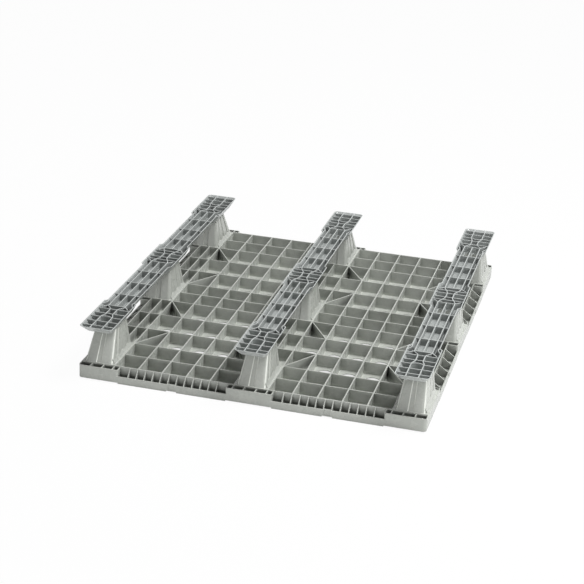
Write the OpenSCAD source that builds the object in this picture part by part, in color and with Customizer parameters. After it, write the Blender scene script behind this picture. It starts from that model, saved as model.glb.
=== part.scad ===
// Nestable plastic pallet with three runners, stored upside down.
// Millimetres. Z = 0 is the floor under the lips of the load face, +Z goes up through the
// nine hollow feet to the soles of the runners, X is the width and Y the length.

/* [Overall] */
// Length along the runners
length = 1200; // [1150:10:1300]
// Width across the runners
width = 1000; // [960:10:1100]
// Height from the lips of the load face to the soles of the runners
height = 160; // [150:1:180]
// Radius of the four corners of the deck
corner_r = 11; // [8:1:14]

/* [Load face] */
// Thickness of the plate that carries the load
plate_t = 3; // [2.5:0.5:4]
// How far the lips stand proud of the load face
lip_h = 3; // [2:0.5:6]
// Width of a lip
lip_w = 8; // [5:1:12]
// Gap in the lips at the middle of each bay
lip_gap = 30; // [20:1:40]
// Width of the openings in the plate
slot_w = 44; // [30:1:50]
// Length of the openings in the long cells
slot_l = 76; // [60:1:90]

/* [Ribs] */
// Height of the rib tops above the floor
rib_top = 43; // [42:0.5:50]
// Thickness of the ribs along the length
column_t = 3.6; // [3:0.1:4.5]
// Thickness of the ribs across the width
row_t = 2.8; // [2.4:0.1:3.6]
// Cells between two neighbouring feet, across the width
bay_cells = 5; // [4:1:6]
// Cells between two neighbouring feet, along the length
row_cells = 3; // [3:1:4]

/* [Rim] */
// Height of the blocks of the rim above the floor
block_top = 41; // [36:0.5:42]
// Height of the low band between the blocks above the floor
band_top = 22; // [16:0.5:28]
// Thickness of the walls of the rim
rim_t = 3; // [2.5:0.5:4]
// Depth of the rim at the two ends
end_rim = 25; // [22:1:30]
// Depth of the rim at the two sides
side_rim = 33; // [28:1:38]
// How far a block reaches past its foot
block_over = 18; // [14:1:22]
// Radius of the outer corners of the blocks
block_r = 6; // [3:1:8]
// Thickness of the gussets behind the band
gusset_t = 2.6; // [2:0.1:3.5]
// Half the width of the middle pocket in front of a foot
pocket_half = 17; // [14:1:20]
// Radius of the corners of the pockets
pocket_r = 3; // [2:0.5:5]
// Width of the shallow mark in the middle of each band
mark_w = 19; // [14:1:24]
// Depth of that mark
mark_d = 1.2; // [0.6:0.2:1.6]
// Rise of the band over that mark
mark_rise = 2; // [1:0.5:4]

/* [Feet] */
// Width of the box that each foot stands on
flange_w = 97; // [94:1:104]
// Gap between the boxes of the outer feet and the edge of the deck
flange_gap = 2.5; // [2:0.5:4]
// Length of the box of an end foot
end_foot_l = 162; // [155:1:170]
// Length of the box of a middle foot
mid_foot_l = 150; // [140:1:160]
// Thickness of the ledge round the base of a foot
ledge_t = 3; // [2:0.5:5]
// Width of a foot at its base
foot_w = 84; // [78:1:88]
// Width of a foot where its runner sits
foot_top_w = 60; // [54:1:66]
// Length of a foot where its runner sits
foot_top_l = 84; // [76:1:92]
// How far the top of an end foot is set back towards the middle
foot_set = 22; // [10:1:26]
// Radius of the corners of a foot at its base
foot_r = 11; // [8:1:14]
// Height of the flares that join the sides of a foot to its ledge
flare_h = 16; // [10:1:24]
// Wall of a foot
foot_wall = 2.5; // [2:0.5:4]
// Width of the grooves down a foot
groove_w = 18; // [12:1:20]
// Depth of the grooves
groove_d = 2.5; // [2:0.5:4]
// Distance between the grooves of a long side
groove_pitch = 45; // [40:1:50]

/* [Runners] */
// Depth of a runner
runner_h = 23; // [20:1:28]
// Width of a runner over a foot
pad_w = 98; // [94:1:104]
// Width of a runner between the feet
span_w = 82; // [76:1:88]
// Length of the wide end of a runner
end_pad_l = 208; // [200:1:215]
// Length of its wide middle
mid_pad_l = 190; // [180:1:200]
// Length of the step from the wide part to the narrow one
step_l = 11; // [8:1:16]
// How far the sides of a runner lean in towards its floor, on each side
side_lean = 12; // [8:1:14]
// How far the end of a runner leans in
nose_lean = 27; // [18:1:32]
// Radius of the corners at the end of a runner
nose_r = 12; // [8:1:16]
// Outer wall of a runner
runner_wall = 2.75; // [2:0.25:3.5]
// Floor of a runner
runner_floor = 2.5; // [2:0.5:4]
// Thickness of the ribs in a runner
runner_rib_t = 2.8; // [2:0.2:3.4]
// Distance of the long ribs from the middle, between the feet
rail_span = 25; // [22:0.5:28]
// The same where the ribs draw together over a foot
rail_neck = 10.5; // [9:0.5:14]
// The same near the end of a runner
rail_nose = 17.5; // [15:0.5:21]
// Distance between the cross ribs between the feet
span_pitch = 96.5; // [85:0.5:100]
// Distance between the cross ribs near the end
nose_pitch = 32; // [26:1:34]
// Width of the openings in the floor, where a span meets a foot
hatch_w = 18; // [14:1:20]
// Length of those openings
hatch_l = 32; // [24:1:38]

/* [Pegs] */
// Diameter of the pegs that hold a runner in its feet
peg_d = 12; // [8:1:16]
// Length of a peg below the floor of the runner
peg_l = 6; // [4:1:12]
// Distance between the two pegs of a foot
peg_pitch = 50; // [40:1:56]
// Gap all round a peg in its hole
peg_gap = 0.3; // [0.2:0.1:0.6]

/* [Hidden] */
$fn = 32;

// Far enough past a face to cut through it cleanly
past = 1;
// The same for a tapered cut, whose outline is wider further down
just_past = 0.1;

// Heights
plate_top = lip_h + plate_t;
seat_z = height - runner_h;
foot_z = rib_top - ledge_t;
foot_h = seat_z - foot_z;

// Across the width: centre lines of the ribs beside the feet, and of the outer feet
foot_half = flange_w / 2;
side_foot_x = width / 2 - flange_gap - foot_half;
bay_end_x = side_foot_x - foot_half;
bay_pitch = (bay_end_x - foot_half) / bay_cells;
side_wall_x = width / 2 - side_rim;
foot_xs = [-side_foot_x, 0, side_foot_x];
bay_xs = [for (k = [0 : bay_cells]) foot_half + k * bay_pitch];
side_rib_x = (bay_end_x + side_wall_x) / 2;

// Along the length: centre lines of the rows of ribs
end_row = length / 2 - end_rim;
end_box_y = end_row - end_foot_l / 2;
inner_row = end_row - end_foot_l;
mid_row = mid_foot_l / 2;
row_pitch = (inner_row - mid_row) / row_cells;
open_ys = [for (k = [0 : row_cells]) mid_row + k * row_pitch];
bay_mid_x = (foot_half + bay_end_x) / 2;
bay_mid_y = (mid_row + inner_row) / 2;

// Along a runner
foot_top_y = end_box_y - foot_set;
neck_half = 16.5;
neck_blend = 26;
mid_neck_half = 15;
mid_blend = 45;
span_end = foot_top_y - neck_half - neck_blend;
span_start = mid_neck_half + mid_blend;
nose_start = foot_top_y + neck_half + neck_blend;
hatch_gap = 2;
hatch_r = 3;
brace_x = 15;
mid_brace_y = 15;
end_brace_y = 18;
tie_rise = 7.5;
edge_rib_l = 33;
edge_rib_bow = 6;
step_n = 5;

// A smooth rise from 0 to 1 while t goes from a to b
function ease(t, a, b) = (1 - cos(180 * min(1, max(0, (t - a) / (b - a))))) / 2;

// Draws its children in all four quarters
module quarters() {
    for (sx = [0, 1], sy = [0, 1])
        mirror([sx, 0, 0]) mirror([0, sy, 0]) children();
}

// A straight rib between two points, in plan
module bar(a, b, t) {
    d = b - a;
    translate(a) rotate(atan2(d[1], d[0])) translate([0, -t / 2]) square([norm(d), t]);
}

module rounded_rectangle(size, r) {
    offset(r = r) square([size[0] - 2 * r, size[1] - 2 * r], center = true);
}

module deck_outline() {
    rounded_rectangle([width, length], corner_r);
}

// Places its children at the nine feet. $foot_l is the length of the box there, $foot_y its
// middle, and $top_y the middle of the foot where the runner sits
module at_feet() {
    for (x = foot_xs) {
        translate([x, 0]) {
            let ($foot_l = mid_foot_l, $foot_y = 0, $top_y = 0) children();
            for (side = [0, 1]) mirror([0, side, 0])
                let ($foot_l = end_foot_l, $foot_y = end_box_y, $top_y = foot_top_y) children();
        }
    }
}

// The hollow inside the box of each foot, in plan
module foot_boxes_clear() {
    at_feet() translate([0, $foot_y])
        square([flange_w - column_t, $foot_l - row_t], center = true);
}

// All ribs of full height, in plan
module rib_plan() {
    difference() {
        union() {
            for (sy = [-1, 1]) {
                for (y = open_ys) translate([0, sy * y])
                    square([width - rim_t, row_t], center = true);
                for (y = [end_box_y, end_row]) translate([0, sy * y])
                    square([2 * bay_end_x, row_t], center = true);
            }
            square([2 * bay_end_x, row_t], center = true);
            for (sx = [-1, 1]) {
                for (x = bay_xs) translate([sx * x, 0])
                    square([column_t, 2 * end_row], center = true);
                translate([sx * side_rib_x, 0]) square([row_t, 2 * inner_row], center = true);
                translate([sx * side_wall_x, 0]) square([row_t, 2 * inner_row], center = true);
            }
            square([row_t, 2 * inner_row], center = true);
            quarters() diagonals();
        }
        foot_boxes_clear();
    }
}

// The four diagonal ribs that run from the feet into one quarter of the deck
module diagonals() {
    for (x = [[foot_half, foot_half + bay_pitch], [bay_end_x, bay_end_x - bay_pitch]]) {
        bar([x[0], mid_row], [x[1], mid_row + row_pitch], row_t);
        bar([x[0], inner_row], [x[1], inner_row - row_pitch], row_t);
    }
}

// The gussets that stiffen the low band, in plan
module gusset_plan() {
    gap = bay_pitch / 3;
    for (sx = [-1, 1], sy = [-1, 1], k = [2 : 3 * bay_cells - 2])
        translate([sx * (foot_half + k * gap), sy * (end_row + end_rim / 2)])
            square([gusset_t, end_rim], center = true);
    for (sx = [-1, 1], sy = [-1, 1], k = [1 : 2 * row_cells - 1])
        translate([sx * (width / 2 - side_rim / 2), sy * (mid_row + k * row_pitch / 2)])
            square([side_rim - rim_t, gusset_t], center = true);
}

// The wedge that slopes the gussets from the rib tops down to the band, along a bay from a to b
module slope(depth, a, b) {
    translate([0, b, 0]) rotate([90, 0, 0]) linear_extrude(b - a)
        polygon([[-depth + row_t / 2, rib_top], [-rim_t, band_top], [past, band_top],
            [past, rib_top + past], [-depth + row_t / 2, rib_top + past]]);
}

// One block of the rim, from a to b along its edge, with its outer corners rounded
module block_plan(depth, a, b) {
    intersection() {
        translate([-depth, (a + b) / 2]) rounded_rectangle([2 * depth, b - a], block_r);
        translate([-depth, a]) square([depth, b - a]);
    }
}

// The pockets between the walls at the given places along an edge
module pockets(depth, walls) {
    for (k = [0 : len(walls) - 2]) {
        size = [depth - rim_t - row_t / 2, walls[k + 1] - walls[k] - rim_t];
        translate([-rim_t - size[0] / 2, (walls[k] + walls[k + 1]) / 2])
            rounded_rectangle(size, pocket_r);
    }
}

// Puts what is drawn along the edge x = 0 at an end of the deck, so that its y runs along X
module at_end() {
    translate([0, length / 2]) rotate(90) mirror([0, 1, 0]) children();
}

module at_side() {
    translate([width / 2, 0]) children();
}

// The rim of blocks of full height, in plan
module block_plans() {
    corner_a = bay_end_x - block_over;
    mid_b = foot_half + block_over;
    difference() {
        intersection() {
            deck_outline();
            union() {
                for (sy = [0, 1]) mirror([0, sy, 0]) at_end() block_plan(end_rim, -mid_b, mid_b);
                for (sx = [0, 1]) mirror([sx, 0, 0])
                    at_side() block_plan(side_rim, -mid_row - block_over, mid_row + block_over);
                quarters() {
                    at_end() block_plan(end_rim, corner_a, width / 2 + block_r);
                    at_side() block_plan(side_rim, inner_row - block_over, length / 2 + block_r);
                }
            }
        }
        foot_boxes_clear();
        for (sy = [0, 1]) mirror([0, sy, 0]) at_end()
            pockets(end_rim, [-mid_b + rim_t / 2, -foot_half, -pocket_half, pocket_half, foot_half,
                mid_b - rim_t / 2]);
        quarters() {
            at_end() pockets(end_rim, [corner_a + rim_t / 2, bay_end_x, side_foot_x - pocket_half,
                side_foot_x + pocket_half, width / 2 - rim_t / 2]);
            at_side() pockets(side_rim, [mid_row, mid_row + block_over - rim_t / 2]);
            at_side() pockets(side_rim, [inner_row - block_over + rim_t / 2, inner_row]);
        }
    }
}

// The low band between the blocks, with its raised middle and its shallow mark
module band() {
    rise = mark_w + 2 * rim_t;
    difference() {
        union() {
            translate([0, 0, lip_h]) linear_extrude(band_top - lip_h) difference() {
                deck_outline();
                offset(delta = -rim_t) deck_outline();
            }
            quarters() {
                translate([bay_mid_x, length / 2 - rim_t / 2, (band_top + lip_h + mark_rise) / 2])
                    cube([rise, rim_t, band_top - lip_h + mark_rise], center = true);
                translate([width / 2 - rim_t / 2, bay_mid_y, (band_top + lip_h + mark_rise) / 2])
                    cube([rim_t, rise, band_top - lip_h + mark_rise], center = true);
            }
        }
        quarters() {
            translate([bay_mid_x, length / 2, (band_top + lip_h) / 2])
                cube([mark_w, 2 * mark_d, band_top - lip_h - mark_rise], center = true);
            translate([width / 2, bay_mid_y, (band_top + lip_h) / 2])
                cube([2 * mark_d, mark_w, band_top - lip_h - mark_rise], center = true);
        }
    }
}

// The lips that keep a load from sliding off, in two lengths along each bay
module lips() {
    end_l = (bay_end_x - foot_half) / 2 - block_over - lip_gap / 2;
    side_l = (inner_row - mid_row) / 2 - block_over - lip_gap / 2;
    quarters() for (s = [-1, 1]) {
        translate([bay_mid_x + s * (lip_gap + end_l) / 2, length / 2 - lip_w / 2, plate_top / 2])
            cube([end_l, lip_w, plate_top], center = true);
        translate([width / 2 - lip_w / 2, bay_mid_y + s * (lip_gap + side_l) / 2, plate_top / 2])
            cube([lip_w, side_l, plate_top], center = true);
    }
}

// The openings of the plate: long ones in the long cells, round ones in the short cells
module plate_openings() {
    short_ys = [mid_row / 2, (inner_row + end_box_y) / 2, (end_box_y + end_row) / 2];
    for (i = [0 : bay_cells - 1]) {
        x = foot_half + (i + 0.5) * bay_pitch;
        for (y = short_ys) translate([x, y]) circle(d = slot_w);
        for (k = [0 : row_cells - 1]) {
            braced = (i == 0 || i == bay_cells - 1) && (k == 0 || k == row_cells - 1);
            if (!braced) translate([x, mid_row + (k + 0.5) * row_pitch]) slot();
        }
    }
}

module slot() {
    straight = slot_l - slot_w;
    square([slot_w, straight], center = true);
    for (s = [-1, 1]) translate([0, s * straight / 2]) circle(d = slot_w);
}

module plate() {
    translate([0, 0, lip_h]) difference() {
        linear_extrude(plate_t) difference() {
            deck_outline();
            foot_boxes_clear();
        }
        translate([0, 0, -past]) linear_extrude(plate_t + 2 * past) quarters() plate_openings();
    }
}

// A groove down one face of a foot, in plan, with sloping flanks; the face is x = 0
module groove() {
    polygon([[past, -groove_w / 2], [0, -groove_w / 2], [-groove_d, -groove_w / 2 + groove_d],
        [-groove_d, groove_w / 2 - groove_d], [0, groove_w / 2], [past, groove_w / 2]]);
}

// The outline of a foot at its base
module foot_plan(l) {
    difference() {
        rounded_rectangle([foot_w, l], foot_r);
        for (s = [0, 1]) {
            mirror([s, 0, 0]) for (k = [-1 : 1])
                translate([foot_w / 2, k * groove_pitch]) groove();
            mirror([0, s, 0]) translate([0, l / 2]) rotate(90) groove();
        }
    }
}

// A drafted block on the outline of a foot drawn in by inset, h high, whose top is set to shift
module drafted_foot(l, shift, inset, h) {
    k = h / foot_h;
    base = [foot_w - 2 * inset, l - 2 * inset];
    top = [foot_w + (foot_top_w - foot_w) * k - 2 * inset, l + (foot_top_l - l) * k - 2 * inset];
    ratio = [top[0] / base[0], top[1] / base[1]];
    middle = shift * k / (1 - ratio[1]);
    translate([0, middle, 0]) linear_extrude(h, scale = ratio, slices = 1) translate([0, -middle])
        offset(delta = -inset) foot_plan(l);
}

// The flares that join the long sides of a foot to its ledge
module flares(l) {
    k = flare_h / foot_h;
    side = (foot_w + (foot_top_w - foot_w) * k - foot_wall) / 2;
    flare_l = l - 2 * foot_r;
    for (s = [0, 1]) mirror([s, 0, 0]) translate([0, flare_l / 2, 0]) rotate([90, 0, 0])
        linear_extrude(flare_l)
            polygon([[side, 0], [(flange_w - column_t) / 2, 0], [side, flare_h]]);
}

// The nine hollow feet and the ledges that they stand on
module feet() {
    at_feet() translate([0, $foot_y, foot_z]) difference() {
        union() {
            translate([0, 0, ledge_t / 2]) cube([flange_w, $foot_l, ledge_t], center = true);
            flares($foot_l);
            drafted_foot($foot_l, $top_y - $foot_y, 0, foot_h);
        }
        translate([0, 0, -just_past])
            drafted_foot($foot_l, $top_y - $foot_y, foot_wall, foot_h - foot_wall + just_past);
    }
}

// The holes in the feet for the pegs of the runners
module peg_holes() {
    at_feet() for (s = [-1, 1])
        translate([0, $top_y + s * peg_pitch / 2, seat_z - foot_wall - past])
            cylinder(h = foot_wall + 2 * past, d = peg_d + 2 * peg_gap);
}

module deck() color([0.62, 0.64, 0.61]) {
    difference() {
        union() {
            plate();
            lips();
            band();
            translate([0, 0, lip_h]) linear_extrude(block_top - lip_h) block_plans();
            difference() {
                translate([0, 0, lip_h]) linear_extrude(rib_top - lip_h) union() {
                    rib_plan();
                    gusset_plan();
                }
                quarters() {
                    translate([0, length / 2, 0]) rotate(90) mirror([0, 1, 0])
                        slope(end_rim, foot_half + block_over, bay_end_x - block_over);
                    translate([width / 2, 0, 0])
                        slope(side_rim, mid_row + block_over, inner_row - block_over);
                }
            }
            feet();
        }
        peg_holes();
    }
}

// Half the width of a runner at the distance y from its middle
function runner_half(y) = span_w / 2 + (pad_w - span_w) / 2
    * (1 - ease(y, mid_pad_l / 2 - step_l, mid_pad_l / 2)
        + ease(y, length / 2 - end_pad_l, length / 2 - end_pad_l + step_l));

// The wide end of a runner from its step to its nose, in plan, with y = 0 at the step
module end_pad_plan() {
    start = length / 2 - end_pad_l;
    steps = [for (k = [0 : step_n]) k * step_l / step_n];
    right = [for (t = steps) [runner_half(start + t), t]];
    intersection() {
        polygon(concat(right, [[pad_w / 2, end_pad_l], [-pad_w / 2, end_pad_l]],
            [for (k = [step_n : -1 : 0]) [-right[k][0], right[k][1]]]));
        rounded_rectangle([pad_w, 2 * end_pad_l], nose_r);
    }
}

// The wide middle of a runner, in plan
module mid_pad_plan() {
    steps = [for (k = [0 : step_n]) mid_pad_l / 2 - step_l + k * step_l / step_n];
    right = [for (y = steps) [runner_half(y), y]];
    back = [for (k = [step_n : -1 : 0]) right[k]];
    polygon(concat(right, [for (p = back) [-p[0], p[1]]],
        [for (p = right) [-p[0], -p[1]]], [for (p = back) [p[0], -p[1]]]));
}

// The body of a runner drawn in by inset, from the height floor_z above its seat up to its sole
module runner_body(inset, floor_z) {
    h = runner_h - floor_z;
    k = h / runner_h;
    half = pad_w / 2 - inset;
    lean_x = (half - side_lean * k) / half;
    lean_y = (end_pad_l - inset - nose_lean * k) / (end_pad_l - inset);
    translate([0, 0, runner_h]) mirror([0, 0, 1]) {
        linear_extrude(h, scale = [lean_x, 1], slices = 1) offset(delta = -inset) mid_pad_plan();
        for (s = [0, 1]) mirror([0, s, 0]) translate([0, length / 2 - end_pad_l, 0])
            linear_extrude(h, scale = [lean_x, lean_y], slices = 1)
                offset(delta = -inset) end_pad_plan();
    }
    span_l = length - 2 * end_pad_l + 2 * step_l;
    sole = span_w / 2 - inset;
    floor = sole - side_lean * k;
    translate([0, span_l / 2, 0]) rotate([90, 0, 0]) linear_extrude(span_l)
        polygon([[-floor, floor_z], [floor, floor_z], [sole, runner_h], [-sole, runner_h]]);
}

// Distance of a long rib from the middle of the runner, at the distance y from its middle
function rail_x(y) = rail_neck
    + (rail_span - rail_neck)
        * (ease(y, mid_neck_half, span_start) - ease(y, span_end, foot_top_y - neck_half))
    + (rail_nose - rail_neck) * ease(y, foot_top_y + neck_half, nose_start);

// The two long ribs of a runner, drawn together over each foot
module rails() {
    n = 6;
    ys = concat([0],
        [for (k = [0 : n]) mid_neck_half + k * mid_blend / n],
        [for (k = [0 : n]) span_end + k * neck_blend / n],
        [for (k = [0 : n]) foot_top_y + neck_half + k * neck_blend / n],
        [length / 2]);
    m = len(ys) - 1;
    all_ys = concat([for (k = [m : -1 : 1]) -ys[k]], ys);
    t = runner_rib_t / 2;
    for (s = [0, 1]) mirror([s, 0]) polygon(concat(
        [for (y = all_ys) [rail_x(abs(y)) + t, y]],
        [for (k = [2 * m : -1 : 0]) [rail_x(abs(all_ys[k])) - t, all_ys[k]]]));
}

// The curved rib that ties the long ribs near the end of a runner
module tie_arc() {
    r = (rail_nose * rail_nose + tie_rise * tie_rise) / (2 * tie_rise);
    translate([0, nose_start - tie_rise + r]) intersection() {
        difference() {
            circle(r = r + runner_rib_t / 2);
            circle(r = r - runner_rib_t / 2);
        }
        translate([-rail_nose, -2 * r]) square([2 * rail_nose, r + tie_rise]);
    }
}

// The rib that carries the edge of the narrow part on into the wide end, and bends out
module edge_arc(start) {
    n = 6;
    t = runner_rib_t / 2;
    edge = span_w / 2 - runner_wall / 2;
    pts = [for (k = [0 : n]) let (s = k / n)
        [edge + edge_rib_bow * (s * s - (1 - s) * sin(180 * s)), start + edge_rib_l * s]];
    polygon(concat([for (p = pts) p + [t, 0]], [for (k = [n : -1 : 0]) pts[k] - [t, 0]]));
}

// The ribs of a runner, in plan
module runner_ribs() {
    cross = [mid_neck_half, (mid_neck_half + span_start) / 2,
        for (k = [-1 : 1]) (span_start + span_end) / 2 + k * span_pitch,
        foot_top_y - neck_half, foot_top_y + neck_half,
        nose_start + nose_pitch, nose_start + 2 * nose_pitch];
    rails();
    for (s = [0, 1]) mirror([0, s]) {
        for (y = cross) translate([0, y]) square([pad_w, runner_rib_t], center = true);
        for (y = [span_start, span_end]) translate([0, y])
            square([2 * rail_span, runner_rib_t], center = true);
        translate([0, (span_start + span_end) / 2])
            square([runner_rib_t, span_end - span_start], center = true);
        tie_arc();
        for (sx = [0, 1]) mirror([sx, 0]) {
            bar([rail_nose, nose_start], [pad_w / 2, nose_start], runner_rib_t);
            bar([rail_span, span_start], [rail_span + brace_x, span_start - mid_brace_y],
                runner_rib_t);
            bar([rail_span, span_end], [rail_span + brace_x, span_end + end_brace_y], runner_rib_t);
            edge_arc(length / 2 - end_pad_l);
        }
    }
}

// The openings in the floor on either side of the middle rib, where a span meets a foot
module hatches() {
    x = (runner_rib_t + hatch_w) / 2 + hatch_gap / 2;
    ys = [span_start + runner_rib_t / 2 + hatch_gap + hatch_l / 2,
        span_end - runner_rib_t / 2 - hatch_gap - hatch_l / 2];
    quarters() for (y = ys) translate([x, y]) rounded_rectangle([hatch_w, hatch_l], hatch_r);
}

// A runner: a ribbed tray whose floor sits on the three feet, with two pegs in each foot
module runner() {
    difference() {
        runner_body(0, 0);
        runner_cavity();
        translate([0, 0, -past]) linear_extrude(runner_floor + 2 * past) hatches();
    }
    intersection() {
        runner_body(runner_wall / 2, runner_floor / 2);
        linear_extrude(runner_h) runner_ribs();
    }
    for (y = [-foot_top_y, 0, foot_top_y], s = [-1, 1])
        translate([0, y + s * peg_pitch / 2, -peg_l])
            cylinder(h = peg_l + runner_floor / 2, d = peg_d);
}

// The hollow of a runner, open at its sole
module runner_cavity() {
    runner_body(runner_wall, runner_floor);
    translate([0, 0, runner_h]) linear_extrude(past) {
        offset(delta = -runner_wall) mid_pad_plan();
        for (s = [0, 1]) mirror([0, s]) translate([0, length / 2 - end_pad_l])
            offset(delta = -runner_wall) end_pad_plan();
        square([span_w - 2 * runner_wall, length - 2 * end_pad_l + 2 * step_l], center = true);
    }
}

module runner_at(x) color([0.47, 0.5, 0.5]) translate([x, 0, seat_z]) runner();

module runner_left() runner_at(-side_foot_x);

module runner_middle() runner_at(0);

module runner_right() runner_at(side_foot_x);

deck();
runner_left();
runner_middle();
runner_right();
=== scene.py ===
"""Looks of a nestable plastic pallet, shown load face down, laid out as a Blender add-on.

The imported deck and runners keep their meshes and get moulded-plastic materials. The stage is a pale
floor in white surroundings, with a broad lamp overhead on the right, a small one low on the right
and a long one low in front. All lengths are in metres.
"""
import math

import bpy
import numpy as np
from mathutils import Matrix, Vector


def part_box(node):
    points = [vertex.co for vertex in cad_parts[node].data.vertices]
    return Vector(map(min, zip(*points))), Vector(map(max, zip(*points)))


bl_info = {
    "name": "Nestable plastic pallet",
    "version": (1, 0, 0),
    "blender": (4, 5, 0),
    "location": "View3D > Sidebar > Pallet",
    "description": "Finishes a ribbed plastic pallet with runners and sets it on a pale floor",
    "category": "Object",
}

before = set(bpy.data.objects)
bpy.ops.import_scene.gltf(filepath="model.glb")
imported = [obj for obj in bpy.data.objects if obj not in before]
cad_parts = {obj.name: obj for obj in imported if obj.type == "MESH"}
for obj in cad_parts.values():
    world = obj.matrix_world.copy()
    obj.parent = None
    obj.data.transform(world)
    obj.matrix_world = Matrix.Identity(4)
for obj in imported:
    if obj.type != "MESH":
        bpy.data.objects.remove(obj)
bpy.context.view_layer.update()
RUNNERS = ("runner_left", "runner_middle", "runner_right")
DECK_GREY = (0.485, 0.502, 0.466)
RUNNER_GREY = (0.43, 0.452, 0.443)

# Brightness of pale wear and painted light, and of painted shade in hollows, as a share of the
# pigment's.
PALE_WEAR_AND_LIGHT = 2.0
SHADE_TONE = 0.35
# Noises: scale, detail and, where it isn't 0.5, roughness.
CLOUDS = (9, 4, 0.6)
FLECKS = (260, 3)
SHINE = (30, 5)
WAVES = (22, 2)
GRAIN = (1400, 2)
FLECK_TONES = (0.95, 1.04)
SHINE_SPREAD = 0.08
# Masks: where each starts and where it ends.
EDGE_AGREEMENT = (0.7, 0.99)
CORNER_TURN = (0.33, 0.38)
CORNER_LEAN = (0.34, 0.4)
OPEN_SKY = (0.1, 0.6)
FLOOR_HEIGHT = (0.008, 0.018)
# Half the width and the length inside the rim of the deck, and how fast the painted light on the
# floors fades there.
INSIDE_RIM = (0.467, 0.575)
RIM_FADE = 0.01
# Rays that find the edges and the hollows.
MASK_SAMPLES = 6

# Width and height of each lamp, and its place.
LAMPS = {
    "overhead": ((1.8, 1.8), (1.6, 0.15, 3.6)),
    "side": ((0.2, 0.2), (1.7, -0.8, 0.85)),
    "front": ((2.2, 0.5), (-0.6, -3.3, 0.3)),
}
FLOOR_HALF = 6.0
# How far the shade under the deck stays inside its outline.
SHADE_FADE = 0.01
WHITE = (1, 1, 1, 1)
SENSOR_WIDTH = 36
CLIP_END = 50


class Net:
    """Adds shader nodes to one node tree, and links them."""

    def __init__(self, tree):
        self.nodes, self.links = tree.nodes, tree.links

    def add(self, kind, **inputs):
        """A node, with the sockets named set to the values given."""
        node = self.nodes.new(kind)
        for name, value in inputs.items():
            node.inputs[name.replace("_", " ")].default_value = value
        return node

    def maths(self, operation, *sources):
        """One operation on the sockets given."""
        node = self.add("ShaderNodeMath")
        node.operation = operation
        for socket, source in zip(node.inputs, sources):
            self.links.new(source, socket)
        return node.outputs[0]

    def spread(self, source, low, high, start=0.3, end=0.7):
        """A straight ramp from low at start to high at end, and level past them."""
        node = self.add("ShaderNodeMapRange")
        for socket, value in zip(node.inputs[1:5], (start, end, low, high)):
            socket.default_value = value
        self.links.new(source, node.inputs[0])
        return node.outputs[0]

    def parts(self, vector):
        """The X, Y and Z of a vector."""
        node = self.add("ShaderNodeSeparateXYZ")
        self.links.new(vector, node.inputs[0])
        return node.outputs

    def noise(self, place, scale, detail, roughness=0.5):
        """Cloudy noise in Object coordinates."""
        node = self.add("ShaderNodeTexNoise", Scale=scale, Detail=detail, Roughness=roughness)
        self.links.new(place.outputs["Object"], node.inputs["Vector"])
        return node.outputs["Fac"]

    def mix(self, blend, factor, a, b):
        """A blend of two colours. Each value may be a socket or plain."""
        node = self.add("ShaderNodeMix")
        node.data_type, node.blend_type = "RGBA", blend
        for socket, value in zip((node.inputs[0], node.inputs[6], node.inputs[7]), (factor, a, b)):
            if isinstance(value, bpy.types.NodeSocket):
                self.links.new(value, socket)
            else:
                socket.default_value = value
        return node.outputs[2]

    def white_rays(self):
        """One for camera, glossy and transmission rays, and nought for the rest."""
        path = self.add("ShaderNodeLightPath")
        total = path.outputs["Is Camera Ray"]
        for name in ("Is Glossy Ray", "Is Transmission Ray"):
            total = self.maths("MAXIMUM", total, path.outputs[name])
        return total


def worn_and_highlit_edges(net, finish, rounded):
    """Mask of the edges that are worn pale and carry a painted highlight: one minus the dot product
    of the true and the rounded normals.
    """
    edge = net.add("ShaderNodeVectorMath")
    edge.operation = "DOT_PRODUCT"
    net.links.new(rounded, edge.inputs[0])
    net.links.new(net.add("ShaderNodeNewGeometry").outputs["Normal"], edge.inputs[1])
    return net.spread(edge.outputs["Value"], finish.edge_wear, 0.0, *EDGE_AGREEMENT)


def highlit_corners(net, finish, place):
    """Mask of the painted highlight on the corners that lean back, as those of the end feet do.

    There the normal has like parts along X and Y, and looks up by some 25 degrees.
    """
    facing = net.parts(place.outputs["Normal"])
    turn = net.maths("ABSOLUTE", net.maths("MULTIPLY", facing[0], facing[1]))
    return net.maths("MULTIPLY", net.spread(turn, 0.0, finish.corner_wear, *CORNER_TURN),
                     net.spread(facing[2], 0.0, 1.0, *CORNER_LEAN))


def lit_floors(net, finish, place):
    """Mask of the painted light on the floors of the cells: low down, and inside the rim of the deck.
    """
    spot = net.parts(place.outputs["Object"])
    low = net.spread(spot[2], finish.floor_wear, 0.0, *FLOOR_HEIGHT)
    for axis, rim in enumerate(INSIDE_RIM):
        inside = net.spread(net.maths("ABSOLUTE", spot[axis]), 1.0, 0.0, rim - RIM_FADE, rim)
        low = net.maths("MULTIPLY", low, inside)
    return low


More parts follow.
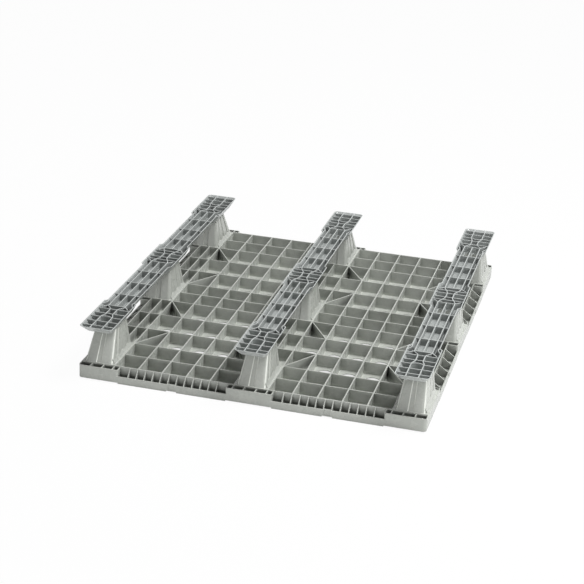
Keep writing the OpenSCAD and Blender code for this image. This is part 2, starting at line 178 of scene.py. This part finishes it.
def moulded_plastic(name, finish):
    """A satin moulded plastic in Object coordinates.

    Colour: cloudy noise and fine flecks vary the pigment. The edges turn pale, partly worn by
    handling and partly a painted highlight, and the leaning corners carry a painted highlight.
    Painted shade darkens the hollows, more where less open sky is in reach, apart from the floors of
    the cells, which carry painted light.
    Roughness: varies with clouds of its own.
    Surface: the rounded normal softens every edge, and over it lie a slow waviness of the wall and
    the fine grain of the mould.
    """
    mat = bpy.data.materials.new(name)
    mat.use_nodes = True
    net = Net(mat.node_tree)
    bsdf = net.nodes["Principled BSDF"]
    bsdf.inputs["IOR"].default_value = 1.5
    bsdf.inputs["Specular IOR Level"].default_value = 0.5
    place = net.add("ShaderNodeTexCoord")
    rounded = net.add("ShaderNodeBevel", Radius=finish.edge_radius)
    rounded.samples = MASK_SAMPLES
    normal = rounded.outputs["Normal"]
    hollow = net.add("ShaderNodeAmbientOcclusion", Distance=finish.hollow_reach)
    hollow.samples = MASK_SAMPLES

    def tone(share):
        return [min(1, c * share) for c in finish.colour] + [1]

    clouds = net.mix("MIX", net.spread(net.noise(place, *CLOUDS), 0.0, 1.0),
                     tone(1 - finish.mottle), tone(1 + finish.mottle))
    flecks = net.mix("MIX", net.spread(net.noise(place, *FLECKS), 0.0, 1.0),
                     *([share] * 3 + [1] for share in FLECK_TONES))
    pigment = net.mix("MULTIPLY", 1.0, clouds, flecks)
    # Painted highlight: the edges (partly real wear as well) and the leaning corners are made paler.
    worn_and_highlit = net.maths("MAXIMUM", worn_and_highlit_edges(net, finish, normal),
                     highlit_corners(net, finish, place))
    worn_and_highlit_colour = net.mix("MIX", worn_and_highlit, pigment, tone(PALE_WEAR_AND_LIGHT))
    # Painted shade: the hollows are darkened where less open sky is in reach.
    painted_shade = net.spread(hollow.outputs["AO"], finish.hollow_dust, 0.0, *OPEN_SKY)
    # Painted light: inside that painted shade, the floors of the cells are made paler instead.
    shade_and_floor_light = net.mix("MIX", lit_floors(net, finish, place), tone(SHADE_TONE), tone(PALE_WEAR_AND_LIGHT))
    net.links.new(net.mix("MIX", painted_shade, worn_and_highlit_colour, shade_and_floor_light), bsdf.inputs["Base Color"])

    shine = net.spread(net.noise(place, *SHINE), finish.roughness - SHINE_SPREAD,
                       finish.roughness + SHINE_SPREAD)
    net.links.new(shine, bsdf.inputs["Roughness"])

    for pattern, depth in ((WAVES, finish.waviness), (GRAIN, finish.grain)):
        bump = net.add("ShaderNodeBump", Distance=depth)
        net.links.new(net.noise(place, *pattern), bump.inputs["Height"])
        net.links.new(normal, bump.inputs["Normal"])
        normal = bump.outputs["Normal"]
    net.links.new(normal, bsdf.inputs["Normal"])
    return mat


def dress(node, mat):
    """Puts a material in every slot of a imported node."""
    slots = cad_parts[node].data.materials
    for k in range(len(slots)):
        slots[k] = mat


def finish_properties(colour, **changed):
    """The properties of one moulded finish: its colour, and what differs from the deck's."""
    start = {"mottle": 0.05, "roughness": 0.27, "edge_radius": 0.0012, "edge_wear": 1.0,
             "waviness": 0.0003, "grain": 0.00003, "hollow_dust": 0.95, "hollow_reach": 0.046,
             "corner_wear": 0.85, "floor_wear": 0.55}
    start.update(changed)
    return {
        "colour": bpy.props.FloatVectorProperty(
            name="Colour", description="Colour of the pigment", subtype="COLOR", min=0, max=1,
            default=colour),
        "mottle": bpy.props.FloatProperty(
            name="Mottle", description="How far the pigment varies", subtype="FACTOR", min=0,
            max=0.3, default=start["mottle"]),
        "roughness": bpy.props.FloatProperty(
            name="Roughness", description="Roughness of the surface", subtype="FACTOR", min=0.1,
            max=0.9, default=start["roughness"]),
        "edge_radius": bpy.props.FloatProperty(
            name="Edge radius", description="How far the light sees the edges rounded",
            subtype="DISTANCE", unit="LENGTH", min=0, max=0.005, default=start["edge_radius"]),
        # The pale edges are partly real wear and partly a painted highlight.
        "edge_wear": bpy.props.FloatProperty(
            name="Edge wear and highlight", description="How pale the edges are worn", subtype="FACTOR", min=0,
            max=1, default=start["edge_wear"]),
        "waviness": bpy.props.FloatProperty(
            name="Waviness", description="Depth of the slow waves of a moulded wall",
            subtype="DISTANCE", unit="LENGTH", min=0, max=0.002, default=start["waviness"]),
        "grain": bpy.props.FloatProperty(
            name="Grain", description="Depth of the fine grain of the mould",
            subtype="DISTANCE", unit="LENGTH", min=0, max=0.0005, default=start["grain"]),
        # Painted shade that darkens the hollows, and how far it reaches.
        "hollow_dust": bpy.props.FloatProperty(
            name="Painted shade", description="How far dust darkens the hollows", subtype="FACTOR", min=0,
            max=1, default=start["hollow_dust"]),
        "hollow_reach": bpy.props.FloatProperty(
            name="Shade reach", description="Size of the hollows that hold dust",
            subtype="DISTANCE", unit="LENGTH", min=0, max=0.2, default=start["hollow_reach"]),
        # Painted highlight on the leaning corners.
        "corner_wear": bpy.props.FloatProperty(
            name="Corner highlight", description="How pale the leaning corners are rubbed",
            subtype="FACTOR", min=0, max=1, default=start["corner_wear"]),
        # Painted light on the floors of the cells.
        "floor_wear": bpy.props.FloatProperty(
            name="Floor light", description="How pale the floors of the cells are scuffed",
            subtype="FACTOR", min=0, max=1, default=start["floor_wear"]),
    }


class DeckFinish(bpy.types.PropertyGroup):
    """Finish of the deck."""
    __annotations__ = finish_properties(DECK_GREY)


class RunnerFinish(bpy.types.PropertyGroup):
    """Finish of the three runners."""
    # The runners get less painted shade in the hollows, and no painted corner highlight or floor
    # light.
    __annotations__ = finish_properties(RUNNER_GREY, hollow_dust=0.68, hollow_reach=0.025,
                                        edge_radius=0.0018, corner_wear=0, floor_wear=0)


class StageSettings(bpy.types.PropertyGroup):
    """Where the camera stands, how strong the lamps are, and how white the floor is."""
    azimuth: bpy.props.FloatProperty(
        name="Azimuth", description="Turn of the camera to the right of the near end",
        subtype="ANGLE", default=math.radians(13.8738))
    elevation: bpy.props.FloatProperty(
        name="Elevation", description="Height of the camera as an angle above the floor",
        subtype="ANGLE", default=math.radians(22.5485))
    roll: bpy.props.FloatProperty(
        name="Roll", description="Tilt of the camera about its line of sight", subtype="ANGLE",
        default=math.radians(2.7781))
    distance: bpy.props.FloatProperty(
        name="Distance", description="Distance of the camera from the point it looks at",
        subtype="DISTANCE", unit="LENGTH", default=5.21358)
    lens: bpy.props.FloatProperty(
        name="Lens", description="Focal length on a sensor 36 mm wide", unit="CAMERA",
        default=99.575)
    aim: bpy.props.FloatVectorProperty(
        name="Aim", description="Point that the camera looks at", subtype="XYZ", unit="LENGTH",
        default=(-0.09193, 0.21785, 0.00442))
    overhead: bpy.props.FloatProperty(
        name="Overhead lamp", description="Power of the broad lamp overhead", unit="POWER",
        default=151)
    side: bpy.props.FloatProperty(
        name="Side lamp", description="Power of the small low lamp on the right", unit="POWER",
        default=5)
    front: bpy.props.FloatProperty(
        name="Front lamp", description="Power of the long low lamp in front", unit="POWER",
        default=16)
    fill: bpy.props.FloatProperty(
        name="Fill", description="Strength of the white surroundings", default=0.13)
    floor: bpy.props.FloatVectorProperty(
        name="Floor", description="Colour of the floor", subtype="COLOR", min=0, max=1,
        default=(0.92, 0.92, 0.915))
    floor_white: bpy.props.FloatProperty(
        name="Floor white", description="Share of plain white that the camera sees in the floor",
        subtype="FACTOR", min=0, max=1, default=0.97)
    shaded_white: bpy.props.FloatProperty(
        name="Shaded white", description="The same under the deck", subtype="FACTOR", min=0,
        max=1, default=0.685)


class PALLET_OT_deck(bpy.types.Operator):
    """Gives the deck its light grey moulded plastic"""
    bl_idname = "pallet.deck"
    bl_label = "Deck"

    def execute(self, context):
        dress("deck", moulded_plastic("deck_plastic", context.scene.pallet_deck))
        return {"FINISHED"}


class PALLET_OT_runners(bpy.types.Operator):
    """Gives the three runners their darker, bluer moulded plastic"""
    bl_idname = "pallet.runners"
    bl_label = "Runners"

    def execute(self, context):
        mat = moulded_plastic("runner_plastic", context.scene.pallet_runners)
        for node in RUNNERS:
            dress(node, mat)
        return {"FINISHED"}


class PALLET_OT_stage(bpy.types.Operator):
    """Sets the floor, the white surroundings, the lamps and the camera"""
    bl_idname = "pallet.stage"
    bl_label = "Stage"

    def execute(self, context):
        stage = context.scene.pallet_stage
        context.scene.view_settings.view_transform = "Standard"
        self.make_floor(context, stage)
        self.light_surroundings(context, stage)
        for name, (size, spot) in LAMPS.items():
            self.hang_lamp(context, name + "_lamp", getattr(stage, name), size, Vector(spot))
        self.place_camera(context, stage)
        return {"FINISHED"}

    def make_floor(self, context, stage):
        """A flat floor. The camera sees it mostly plain white, so that its shadows stay faint."""
        mat = bpy.data.materials.new("pale_floor")
        mat.use_nodes = True
        net = Net(mat.node_tree)
        bsdf = net.nodes["Principled BSDF"]
        bsdf.inputs["Base Color"].default_value = (*stage.floor, 1)
        bsdf.inputs["Roughness"].default_value = 0.8
        bsdf.inputs["Specular IOR Level"].default_value = 0.2
        white = net.add("ShaderNodeEmission", Strength=1.0, Color=WHITE)
        share = net.maths("MULTIPLY", net.white_rays(), open_floor(net, stage))
        surface = net.add("ShaderNodeMixShader")
        for source, socket in zip((share, bsdf.outputs[0], white.outputs[0]), surface.inputs):
            net.links.new(source, socket)
        net.links.new(surface.outputs[0], net.nodes["Material Output"].inputs["Surface"])

        corners = FLOOR_HALF * np.array([(-1, -1, 0), (1, -1, 0), (1, 1, 0), (-1, 1, 0)])
        mesh = bpy.data.meshes.new("floor")
        mesh.from_pydata(corners.tolist(), [], [(0, 1, 2, 3)])
        mesh.materials.append(mat)
        floor = bpy.data.objects.new("floor", mesh)
        context.scene.collection.objects.link(floor)

    def light_surroundings(self, context, stage):
        """A white sky, brighter to what the camera, a gloss or a glass sees directly."""
        world = bpy.data.worlds.new("white_surroundings")
        world.use_nodes = True
        context.scene.world = world
        net = Net(world.node_tree)
        back = net.nodes["Background"]
        back.inputs["Color"].default_value = WHITE
        strength = net.spread(net.white_rays(), stage.fill, 1, 0, 1)
        net.links.new(strength, back.inputs["Strength"])

    def hang_lamp(self, context, name, power, size, spot):
        """A soft lamp of the given width and height, pointing at the middle of the pallet."""
        lamp = bpy.data.lights.new(name, "AREA")
        lamp.shape, lamp.energy = "ELLIPSE", power
        lamp.size, lamp.size_y = size
        obj = bpy.data.objects.new(name, lamp)
        context.scene.collection.objects.link(obj)
        turn = spot.to_track_quat("Z", "Y").to_matrix().to_4x4()
        obj.matrix_world = Matrix.Translation(spot) @ turn

    def place_camera(self, context, stage):
        """The photograph's camera: back from the aim along its turn and height, then rolled."""
        data = bpy.data.cameras.new("camera")
        data.lens, data.sensor_width = stage.lens, SENSOR_WIDTH
        data.clip_end = CLIP_END
        cam = bpy.data.objects.new("camera", data)
        context.scene.collection.objects.link(cam)
        a, e = stage.azimuth, stage.elevation
        back = Vector((math.sin(a) * math.cos(e), -math.cos(a) * math.cos(e), math.sin(e)))
        right = Vector((0, 0, 1)).cross(back).normalized()
        up = back.cross(right)
        turn = Matrix((right, up, back)).transposed() @ Matrix.Rotation(stage.roll, 3, "Z")
        spot = Vector(stage.aim) + back * stage.distance
        cam.matrix_world = Matrix.Translation(spot) @ turn.to_4x4()
        context.scene.camera = cam


def open_floor(net, stage):
    """The share of white in the floor: high in the open, and low under the deck's own box."""
    spot = net.parts(net.add("ShaderNodeTexCoord").outputs["Object"])
    low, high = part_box("deck")
    halves = [(high[axis] - low[axis]) / 2 for axis in (0, 1)]
    past = [net.spread(net.maths("ABSOLUTE", spot[axis]), 0, 1, half - SHADE_FADE, half)
            for axis, half in enumerate(halves)]
    return net.spread(net.maths("MAXIMUM", *past), stage.shaded_white, stage.floor_white, 0, 1)


class PALLET_PT_parts(bpy.types.Panel):
    """Buttons and sizes of the pallet"""
    bl_label = "Pallet"
    bl_idname = "PALLET_PT_parts"
    bl_space_type = "VIEW_3D"
    bl_region_type = "UI"
    bl_category = "Pallet"

    def draw(self, context):
        for operator in OPERATORS:
            self.layout.operator(operator.bl_idname)
        for group in GROUPS:
            box = self.layout.box()
            settings = getattr(context.scene, group)
            for name in GROUPS[group].__annotations__:
                box.prop(settings, name)


OPERATORS = (PALLET_OT_deck, PALLET_OT_runners, PALLET_OT_stage)
GROUPS = {"pallet_deck": DeckFinish, "pallet_runners": RunnerFinish, "pallet_stage": StageSettings}


def register():
    for cls in (*GROUPS.values(), *OPERATORS, PALLET_PT_parts):
        bpy.utils.register_class(cls)
    for name, group in GROUPS.items():
        setattr(bpy.types.Scene, name, bpy.props.PointerProperty(type=group))


def unregister():
    for name in GROUPS:
        delattr(bpy.types.Scene, name)
    for cls in reversed((*GROUPS.values(), *OPERATORS, PALLET_PT_parts)):
        bpy.utils.unregister_class(cls)


def main():
    register()
    bpy.ops.pallet.deck()
    bpy.ops.pallet.runners()
    bpy.ops.pallet.stage()


if __name__ == "__main__":
    main()
